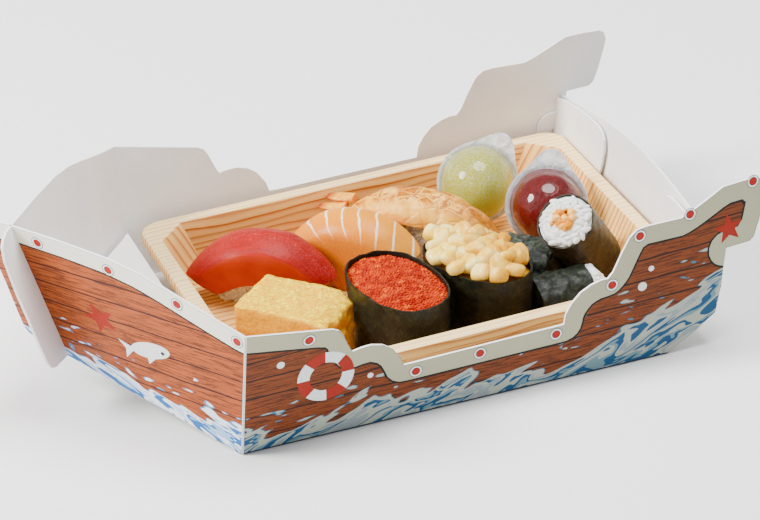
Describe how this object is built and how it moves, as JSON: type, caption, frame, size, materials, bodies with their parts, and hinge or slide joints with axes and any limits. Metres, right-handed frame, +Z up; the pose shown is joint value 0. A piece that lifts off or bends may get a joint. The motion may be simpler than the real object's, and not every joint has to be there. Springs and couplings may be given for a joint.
{
  "type": "takeaway sushi tray",
  "caption": "Takeaway sushi set in a wood-grain tray, held in a folding card box shaped and printed like a boat",
  "frame": {"origin": "on the floor, under the middle of the box", "axes": "+X runs along the box from bow to stern, +Y across it, +Z up"},
  "size_m": [0.2898, 0.1718, 0.079],
  "materials": {
    "card_print": "matte",
    "card_plain": "matte",
    "tray_wood": "satin",
    "rice": "satin",
    "tuna": "satin",
    "salmon": "satin",
    "shrimp": "satin",
    "egg": "matte",
    "nori": "satin",
    "roe": "gloss",
    "corn": "satin",
    "bean": "satin",
    "clear_cup": "gloss",
    "green_jelly": "gloss",
    "red_jelly": "gloss",
    "lid_film": "gloss"
  },
  "bodies": {
    "root": {"carton": "card_print", "deck": "card_plain", "tray": "tray_wood", "tuna_slice": "tuna", "tuna_rice": "rice", "salmon_slice": "salmon", "shrimp": "shrimp", "shrimp_rice": "rice", "tamago": "egg", "roe_band": "nori", "roe": "roe", "corn_band": "nori", "corn": "corn", "top_roll_nori": "nori", "top_roll_rice": "rice", "top_roll_filling": "bean", "back_roll_nori": "nori", "back_roll_rice": "rice", "front_roll_nori": "nori", "front_roll_rice": "rice", "green_cup": "clear_cup", "green_jelly": "green_jelly", "green_lid": "lid_film", "red_cup": "clear_cup", "red_jelly": "red_jelly", "red_lid": "lid_film"}
  },
  "joints": []
}
